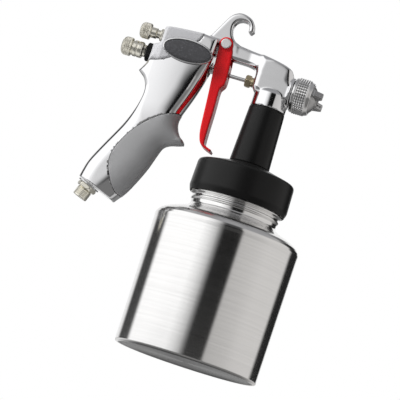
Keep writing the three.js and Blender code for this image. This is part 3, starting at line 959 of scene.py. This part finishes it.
def packing_nut():
    low, high = span("packing_nut")
    hexed = hexagon_field(0, (0, FLUID_Z), 4.2, low[0], low[0] + 4.2)
    collar = fluid_rod(3.4, low[0] + 3.5, low[0] + 6.4, 0.3)
    shank = fluid_rod(3.6, low[0] + 5, high[0], 0.3)
    body = meet(join(hexed, collar, shank, soft=0.2),
                minus(fluid_rod(1.6, -40, 0, 0.1)), soft=0.2)
    carved("gland_nut", "packing_nut", body, 0.32, BRASS, "gun")


def valve_nut():
    low, high = span("air_valve_nut")
    hexed = hexagon_field(0, (0, FLUID_Z), 4.5, high[0] - 2.4, high[0])
    shank = fluid_rod(4.3, low[0], high[0] - 2, 0.3)
    body = meet(join(hexed, shank, soft=0.2),
                minus(fluid_rod(2.8, -80, 0, 0.1)), soft=0.2)
    carved("air_gland_nut", "air_valve_nut", body, 0.34, BRASS, "gun")


def coil(node, wire, turns):
    """A coil spring in the place of its CAD tube."""
    low, high = span(node)
    mean = (high[1] - low[1]) / 2 - wire / 2
    around, per_turn = 8, 20
    steps = int(turns * per_turn)
    points, faces = [], []
    for s in range(steps + 1):
        angle = 2 * math.pi * s / per_turn
        x = low[0] + wire / 2 + (high[0] - low[0] - wire) * s / steps
        out = np.array([0, math.cos(angle), math.sin(angle)])
        centre = np.array([x, 0, FLUID_Z]) + out * mean
        for k in range(around):
            t = 2 * math.pi * k / around
            points.append(centre + (out * math.cos(t) + np.array([1, 0, 0]) * math.sin(t))
                          * wire / 2)
    for s in range(steps):
        for k in range(around):
            m = (k + 1) % around
            a, b = s * around, (s + 1) * around
            faces.append([a + k, b + k, b + m, a + m])
    faces.append(list(range(around)))
    faces.append([steps * around + k for k in range(around)][::-1])
    piece = add(f"{node}_wire", (points, faces), STEEL, "gun", [node])
    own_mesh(piece)


def springs():
    coil("needle_spring", wire=0.7, turns=11)
    coil("air_valve_spring", wire=0.75, turns=9)


def fluid_knob():
    low, high = span("fluid_knob")
    length = high[0] - low[0]
    profile = [(0, 0), (0, 3.6), (0.35, 5.0), (1.2, 6.2), (2.4, 6.9), (2.8, 7), (7, 7), (7.5, 6.6),
               (8, 5.5), (9, 5.5), (9.4, 6.1), (11.6, 6.1), (11.9, 5.7), (12.4, 5.7), (12.7, 6.1),
               (15.6, 6.1), (16.4, 5.3), (16.7, 4.5), (18.4, 4.5), (18.6, 4.2), (length, 4.2),
               (length, 0)]
    relief = knurl(1.0, 7.2, 34, 0.5, radius=7)
    add("fluid_knob_turned", turned(stepped(softened(profile, 0.2), 0.8, 7.6, 0.25),
                                    along_fluid(low[0]), AHEAD, 204, relief),
        NICKEL, "fluid_knob", ["fluid_knob"], crease=30)
    low, high = span("fluid_knob_bush")
    length = high[0] - low[0]
    profile = [(0, 4.5), (0, 6.5), (0.4, 7), (length - 0.4, 7), (length, 6.6), (length, 4.5),
               (0, 4.5)]

    def ribs(height, angles):
        return 0.5 * wave(angles * 30 / (2 * math.pi)) * (0.2 < height < length - 0.2)

    add("threaded_ring",
        turned(profile, along_fluid(low[0]), AHEAD, 240, ribs, bore=4.6),
        BLACK, "gun", ["fluid_knob_bush"], crease=30)


def fan_knob():
    low, high = span("fan_knob")
    length = high[0] - low[0]
    origin = (low[0], 0, FAN_Z)
    profile = [(0, 0), (0, 3), (0.4, 4.4), (1.3, 5.5), (2.4, 6.05), (2.8, 6.15), (7.4, 6.15),
               (8, 5.5), (8.2, 4.2), (8.7, 4.0), (12.7, 4.0), (13, 3.2), (length, 3.2),
               (length, 0)]
    relief = knurl(1.0, 7.6, 30, 0.5, radius=6.1)
    add("fan_knob_turned", turned(stepped(softened(profile, 0.2), 0.8, 8, 0.25), origin, AHEAD,
                                  180, relief), NICKEL, "fan_knob", ["fan_knob"],
        crease=30)
    low, high = span("fan_knob_bush")
    length = high[0] - low[0]
    profile = [(0, 3.5), (0, 4.3), (0.4, 4.7), (1.5, 4.7), (1.9, 4.15), (length, 4.15),
               (length, 3.5), (0, 3.5)]
    add("fan_bush_turned", turned(softened(profile, 0.15), (low[0], 0, FAN_Z), AHEAD, 72), NICKEL,
        "gun", ["fan_knob_bush"])


# ---- front end ----
def front_end():
    low, high = span("retaining_ring")
    length = high[0] - low[0]
    profile = [(0, 10.4), (0, 12.3), (0.3, 12.7), (1.2, 12.9), (1.7, 12.9), (1.9, 12.5),
               (2.1, 12.6), (2.3, 13.3), (2.6, 13.5), (10.6, 13.5), (11, 13.2), (11.6, 12.7),
               (13.5, 12.0), (length, 11.7), (length, 10.7), (12, 10.7), (12, 11.4),
               (8.4, 11.4), (8.4, 10.4), (0, 10.4)]
    relief = studs(low=2.6, high=10.8, count=40, depth=0.9, pitch=1.64)
    shown = stepped(softened(profile, 0.2), 2.3, 11, 0.17)
    add("retaining_ring_turned",
        turned(shown, along_fluid(low[0]), AHEAD, 400, relief, bore=11.5),
        STEEL, "retaining_ring", ["retaining_ring"], crease=30)
    air_cap()


def air_cap():
    low, high = span("air_cap")
    rear = low[0]
    front = rear + 8.6

    def dome(x, y, z):
        radial = np.hypot(y, z - FLUID_Z)
        top = np.sqrt(radial ** 2 + (x - (front - 13.2)) ** 2) - 13.2
        return np.maximum(top, np.maximum(rear - x, radial - 10.3))

    flange = fluid_rod(11, rear, rear + 1.6, 0.2)
    centre = fluid_rod(4.4, rear + 4, front + 0.1, 0.5)
    whole = join(dome, flange, centre, soft=0.5)
    for side in (-1, 1):
        whole = join(whole, horn(side, rear, high[0]), soft=1.0)
    cuts = [fluid_rod(2.3, rear - 2, front + 4, 0.1),
            fluid_rod(7.9, rear - 2, rear + 2.2, 0.1)]
    for side in (-1, 1):
        for lift in (0, 1.7):
            cuts.append(rod_between((high[0] - 2.8 - lift, *at_cap(side * 9)),
                                    (high[0] - 0.6 - lift, *at_cap(side * 3)), 0.55, 0.05))
        for y, z in ((2.9, 1.9), (2.9, -1.9), (0, 3.4)):
            cuts.append(cylinder(0, (side * y, FLUID_Z + (z if y else side * z)), 0.45,
                                 rear + 5, front + 3, 0.05))
    carved("air_cap_turned", "air_cap", meet(whole, *map(minus, cuts), soft=0.2), 0.3, CAP_METAL,
           "air_cap", 45)


CAP_TURN = math.radians(20)  # how far the horns stand turned from level


def turned_with_cap(y, z):
    """Y and height above the axis, in the air cap's own turned frame."""
    z = z - FLUID_Z
    return (y * math.cos(CAP_TURN) - z * math.sin(CAP_TURN),
            y * math.sin(CAP_TURN) + z * math.cos(CAP_TURN))


def at_cap(out):
    """Y and Z of a point so far out on the line of the horns."""
    return out * math.cos(CAP_TURN), FLUID_Z - out * math.sin(CAP_TURN)


def horn(side, rear, tip):
    """One of the two horns: a bevelled block leaning in over the cap's face."""
    def field(x, y, z):
        y, z = turned_with_cap(y, z)
        y = y * side
        ends = np.maximum(x - tip, rear + 2 - x)
        inner = 4.6 - y + np.maximum(0, (x - tip + 4) * 0.55)
        outer = y - 10.3 + np.maximum(0, (x - tip + 6) * 0.28)
        shape = np.maximum(ends, np.maximum(inner, outer))
        return rounded(shape, np.abs(z) - 3, (1.4, 1.2))
    return field


# ---- cup, lid and neck ----
UP = (0, 0, 1)


def cup():
    wide, _, tall = span("cup")[1]
    rim = tall - 1.1
    foot = [(0.6, 0), (0.6, wide - 6), (0.1, wide - 3.4), (0, wide - 2.6), (0.2, wide - 1.9),
            (0.7, wide - 1.35), (1.6, wide - 1.1), (50, wide - 0.6)]
    # How far down from the top, and in from the widest.
    outer = [(27.5, 0.15), (24.5, 0), (22.6, 0.5), (20.8, 1.7), (19.2, 3.6), (17.6, 6.4),
             (16.1, 10), (14.8, 14), (13.4, 17.6), (12.4, 19.4), (11.6, 20.4), (10.6, 21.4),
             (9.6, 21.8), (7.4, 21.8), (6.7, 21.5), (6.0, 20.9), (5.2, 20.9), (4.5, 21.5),
             (3.9, 21.8), (3.1, 21.8)]
    inner = [(2.5, 23), (10.5, 23), (13, 20.6), (15.6, 14.6), (18.6, 7), (22, 2.4), (24.5, 1.2)]
    outer, inner = ([(tall - down, wide - across) for down, across in side]
                    for side in (outer, inner))
    bead = [(rim + 1.0 * math.sin(t) - 0.2, wide - 21.2 + 1.25 * math.cos(t))
            for t in np.linspace(-1.2, 1.9, 9)]
    bottom = [(4, wide - 2), (2.2, wide - 4), (2.2, 0)]
    profile = [*foot, *outer, *bead, *inner, *bottom]
    add("cup_spun", turned(profile, (0, 0, 0), UP, 192), SPUN, "cup",
        ["cup"], crease=60)


def lid():
    low, high = span("cup_lid")
    r = high[0]
    base, top = low[2], high[2]
    profile = [(base + 3, r - 2.1), (base + 0.5, r - 2.1), (base, r - 1.6), (base + 0.4, r - 1.2),
               (base + 3.2, r - 0.25), (base + 4.2, r - 0.05), (base + 5, r), (top - 8.4, r - 0.45),
               (top - 7, r - 0.65), (top - 6.0, r - 1.2), (top - 5.4, r - 2.2), (top - 4.4, r - 6),
               (top - 1.2, 18.6), (top - 0.5, 16.4), (top, 15.2), (top, 5), (top - 7, 5),
               (top - 10, r - 6), (base + 6, r - 2.1), (base + 3, r - 2.1)]
    add("lid_turned", turned(softened(profile, 0.5, 3), (0, 0, 0), UP, 160), BLACK, "gun",
        ["cup_lid"], crease=60)
    low, high = span("neck_sleeve")
    base, top = low[2], high[2]
    profile = [(base, 9.8), (base, 15), (base + 0.4, 15.05), (top - 1, 13.3), (top, 12.9),
               (top, 9.8), (base, 9.8)]
    add("sleeve_turned", turned(softened(profile, 0.4, 3), (0, 0, 0), UP, 128), BLACK, "gun",
        ["neck_sleeve"], crease=60)


# ---- air inlet ----
def inlet():
    way = -np.array(INLET_MOUNT["axis"], float)
    end = np.array(INLET_MOUNT["pos_m"]) / MM
    end[1] = 0
    profile = [(0, 3.6), (0, 5), (0.4, 5.5), (0.9, 5.9), (6.6, 5.9), (7, 5.2), (7.6, 5.1),
               (7.6, 3.6), (0, 3.6)]
    relief = thread(0.9, 6.6, 1.1, 0.45)
    add("inlet_thread",
        turned(stepped(profile, 0.8, 6.8, 0.16), end, way, 72, relief, bore=3.7),
        NICKEL, "gun", ["inlet_fitting"], crease=30)
    side, across, way = basis(way)
    bar = hexagon_field(2, (0, 0), 6.85, 7.4, 10.6, chamfer=1)

    def hexed(x, y, z):
        from_end = [x - end[0], y - end[1], z - end[2]]
        u, v, along = (sum(c * w for c, w in zip(from_end, line)) for line in (side, across, way))
        return np.maximum(bar(u, v, along), 3.6 - np.hypot(u, v))

    centre = end + way * 9
    add("inlet_hex", net(hexed, centre - 8.4, centre + 8.4, 0.36), NICKEL, "gun",
        ["inlet_fitting"], crease=40)
    profile = [(10.7, 6.3), (10.7, 8.3), (10.9, 8.6), (11.5, 8.6), (11.7, 8.3), (11.7, 6.3),
               (10.7, 6.3)]
    add("inlet_washer_turned", turned(softened(profile, 0.1), end, way, 72), STEEL, "gun",
        ["inlet_washer"])


# ---- studio ----
PHOTO_AZIMUTH, PHOTO_ELEVATION, PHOTO_ROLL = 9.1, -7.9, 18.2
LENS = 198.6
DISTANCE = 1.6
AIM = Vector((0.0053, 0, -0.0124))  # from the middle of the object's box
UNDER_CUP = 0.0035  # how far the floor runs in under the cup, in metres


def away(azimuth, elevation):
    """The direction from the object to a viewer or a lamp, from angles in degrees."""
    a, e = math.radians(azimuth), math.radians(elevation)
    return Vector((math.sin(a) * math.cos(e), -math.cos(a) * math.cos(e), math.sin(e)))


def camera():
    roll = math.radians(PHOTO_ROLL)
    back = away(PHOTO_AZIMUTH, PHOTO_ELEVATION)
    right = (-back).cross(Vector((0, 0, 1))).normalized()
    up = right.cross(-back)
    tilted_right = right * math.cos(roll) + up * math.sin(roll)
    tilted_up = up * math.cos(roll) - right * math.sin(roll)
    data = bpy.data.cameras.new("camera")
    data.lens = LENS
    data.clip_start = 0.05
    data.clip_end = 50
    eye = placed("camera", data)
    eye.matrix_world = (
        Matrix.Translation((cad_box[0] + cad_box[1]) / 2 + AIM + back * DISTANCE)
        @ Matrix((tilted_right, tilted_up, back)).transposed().to_4x4())
    bpy.context.scene.camera = eye


# Brightness round the horizon, by degrees to the right of the photographer, as seen from the object.
BANDS = [
    (-180, 1.0), (-150, 0.9), (-140, 0.06), (-116, 0.05), (-108, 1.25), (-40, 1.3), (-27, 1.0),
    (-18, 0.66), (-12, 0.24), (-7, 0.008), (20, 0.006), (24, 0.60), (70, 0.72), (118, 0.72),
    (126, 0.02), (156, 0.02), (162, 1.0), (180, 1.0),
]

FLOOR_BANDS = [  # the same, for what shiny surfaces see of the floor
    (-180, 0.3), (-150, 0.12), (-120, 0.6), (-75, 0.85), (-45, 0.2), (50, 0.2), (75, 0.55), (105, 0.6),
    (140, 0.1), (180, 0.3),
]


def banded(tree, coords, levels):
    """A colour that changes with the direction of coords round the Z axis."""
    parts = node(tree, "SeparateXYZ", {0: coords}).outputs
    # Degrees from the photographer, as a share of a full turn, 0.5 at the photographer.
    angle = maths(tree, "ARCTAN2", parts[0], maths(tree, "MULTIPLY", parts[1], -1))
    share = maths(tree, "FRACT", maths(tree, "ADD", maths(tree, "DIVIDE", angle, 2 * math.pi),
                                       0.5 - PHOTO_AZIMUTH / 360))
    bands = node(tree, "ValToRGB", {0: share})
    stops = bands.color_ramp.elements
    while len(stops) > 1:
        stops.remove(stops[0])
    for n, (degrees, level) in enumerate(levels):
        stop = stops.new(degrees / 360 + 0.5) if n else stops[0]
        if n == 0:
            stop.position = 0
        warm = 0.96 if 20 < degrees < 125 else 1
        stop.color = (level, level * (0.5 + warm / 2), level * warm, 1)
    return bands.outputs[0]


def world():
    """Bands for shiny surfaces, an even grey for dull ones, and white behind the object."""
    made = bpy.data.worlds.new("studio")
    made.use_nodes = True
    tree = made.node_tree
    tree.nodes.clear()
    place = node(tree, "TexCoord").outputs["Generated"]
    up = node(tree, "SeparateXYZ", {0: place}).outputs[2]
    above = node(tree, "MapRange", {"Value": up, "From Min": 0.5, "From Max": 0.9},
                 interpolation_type="SMOOTHSTEP").outputs["Result"]
    under = node(tree, "MapRange", {"Value": up, "From Min": 0.0, "From Max": -0.06})
    rays = node(tree, "LightPath").outputs
    seen = mixed(tree, above, banded(tree, place, BANDS), (0.36, 0.36, 0.37, 1))
    seen = mixed(tree, under.outputs["Result"], seen, (0.19, 0.19, 0.19, 1))
    seen = mixed(tree, rays["Is Glossy Ray"], (0.2, 0.2, 0.204, 1), seen)
    seen = mixed(tree, rays["Is Camera Ray"], seen, (1, 1, 1, 1))
    light = node(tree, "Background", {"Color": seen})
    node(tree, "OutputWorld", {"Surface": light.outputs[0]})
    made.cycles.sampling_method = "NONE"  # else the bands are lost on rougher metal
    bpy.context.scene.world = made


def area_light(name, azimuth, elevation, distance, size, power):
    back = away(azimuth, elevation)
    data = bpy.data.lights.new(name, "AREA")
    data.size = size
    data.energy = power
    lamp = placed(name, data)
    lamp.location = (cad_box[0] + cad_box[1]) / 2 + back * distance
    lamp.rotation_mode = "QUATERNION"
    lamp.rotation_quaternion = (-back).to_track_quat("-Z", "Y")
    lamp.visible_glossy = False


def floor():
    """A pale floor with one side, open under the cup: from below it does not hide the object."""
    half, count = 4.0, 64
    hole = cad_box[1][1] - UNDER_CUP
    turns = [2 * math.pi * n / count for n in range(count)]
    inner = [(hole * math.cos(t), hole * math.sin(t), 0) for t in turns]
    outer = [(half * math.cos(t), half * math.sin(t), 0) for t in turns]
    mesh = bpy.data.meshes.new("floor")
    mesh.from_pydata(inner + outer, [], [
        (n, n + count, (n + 1) % count + count, (n + 1) % count) for n in range(count)])
    made = bpy.data.materials.new("pale_floor")
    made.use_nodes = True
    tree = made.node_tree
    shader = tree.nodes["Principled BSDF"]
    shader.inputs["Base Color"].default_value = (0.86, 0.86, 0.86, 1)
    shader.inputs["Roughness"].default_value = 0.8
    place = node(tree, "TexCoord").outputs["Object"]
    # Shiny surfaces see the floor glow in bands of emission: painted reflection light, the floor is no
    # lamp.
    dull = node(tree, "Emission", {"Color": banded(tree, place, FLOOR_BANDS)})
    glossy = node(tree, "LightPath").outputs["Is Glossy Ray"]
    seen = node(tree, "MixShader", {0: glossy, 1: shader.outputs[0], 2: dull.outputs[0]})
    behind = node(tree, "NewGeometry").outputs["Backfacing"]
    clear = node(tree, "BsdfTransparent")
    both = node(tree, "MixShader", {0: behind, 1: seen.outputs[0], 2: clear.outputs[0]})
    tree.links.new(both.outputs[0], tree.nodes["Material Output"].inputs["Surface"])
    mesh.materials.append(made)
    ground = placed("floor", mesh)


def plain_nodes():
    for name, finish in PLAIN_NODES.items():
        materials = frame["nodes"][name].data.materials
        materials.clear()
        materials.append(finish)


camera()
world()
area_light("key", azimuth=-62, elevation=34, distance=1.2, size=0.6, power=26)
area_light("fill", azimuth=60, elevation=25, distance=1.4, size=0.8, power=2)
floor()
plain_nodes()
body_pieces()
badges()
trigger()
pivot()
needle()
packing_nut()
valve_nut()
springs()
fluid_knob()
fan_knob()
front_end()
cup()
lid()
inlet()
bpy.context.scene.view_settings.view_transform = "Standard"
